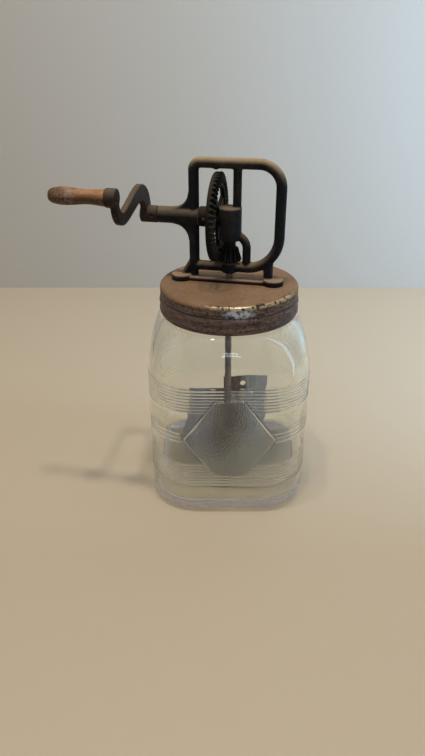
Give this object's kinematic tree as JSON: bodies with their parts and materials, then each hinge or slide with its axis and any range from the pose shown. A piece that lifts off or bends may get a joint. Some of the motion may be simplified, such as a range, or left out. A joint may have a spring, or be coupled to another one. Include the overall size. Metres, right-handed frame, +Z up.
{
  "type": "glass jar butter churn",
  "caption": "Square glass jar with a tin screw lid that carries a cast gear frame: a hand crank turns a bevel gear pair, and the pinion's rod spins folded paddles inside the jar.",
  "frame": {"origin": "middle of the jar's flat base, on the axis of the dasher rod", "axes": "+Z up along the dasher rod, X along the crank shaft with the crank at -X, -Y towards the side that the grip is on at rest"},
  "size_m": [0.2188, 0.1757, 0.3327],
  "materials": {
    "glass": "clear pressed glass",
    "rubber": "matt, aged",
    "tin": "tinned sheet, brown with age",
    "iron": "dark cast iron, worn and rusty",
    "steel": "dull steel",
    "wood": "turned and worn, part of its dark finish left",
    "tinned": "tinned sheet, stained"
  },
  "bodies": {
    "jar": {"glass_jar": "glass"},
    "gasket": {"jar_gasket": "rubber"},
    "lid": {"screw_lid": "tin", "gear_frame": "iron", "frame_screws": "steel", "screw_washers": "steel", "gear_washer": "steel", "pinion_washer": "steel"},
    "crank": {"crank_shaft": "steel", "crank_arm": "iron", "crank_pin": "steel", "drive_gear": "iron", "gear_pin": "steel", "grip_spindle": "steel", "grip_washer": "steel"},
    "grip": {"wooden_grip": "wood"},
    "dasher": {"dasher_shaft": "steel", "bevel_pinion": "iron", "pinion_pin": "steel", "upper_paddle": "tinned", "lower_paddle": "tinned", "dasher_rivets": "steel"}
  },
  "joints": [
    {"name": "lid_rise", "type": "slide", "parent": "jar", "child": "gasket", "axis": [0, 0, 1], "range_m": [0, 0.01]},
    {"name": "lid_turn", "type": "hinge", "parent": "gasket", "child": "lid", "pos_m": [0, 0, 0.2], "axis": [0, 0, 1], "range_deg": [0, 450]},
    {"name": "crank_turn", "type": "hinge", "parent": "lid", "child": "crank", "pos_m": [0, 0, 0.2802], "axis": [1, 0, 0], "continuous": true},
    {"name": "grip_spin", "type": "hinge", "parent": "crank", "child": "grip", "pos_m": [-0.1, -0.08374, 0.31318], "axis": [1, 0, 0], "continuous": true},
    {"name": "dasher_turn", "type": "hinge", "parent": "lid", "child": "dasher", "pos_m": [0, 0, 0.2402], "axis": [0, 0, 1], "continuous": true}
  ],
  "couplings": [
    {"joint": "lid_rise", "follows": "lid_turn", "m_per_rad": 0.0012732},
    {"joint": "dasher_turn", "follows": "crank_turn", "ratio": -4}
  ]
}
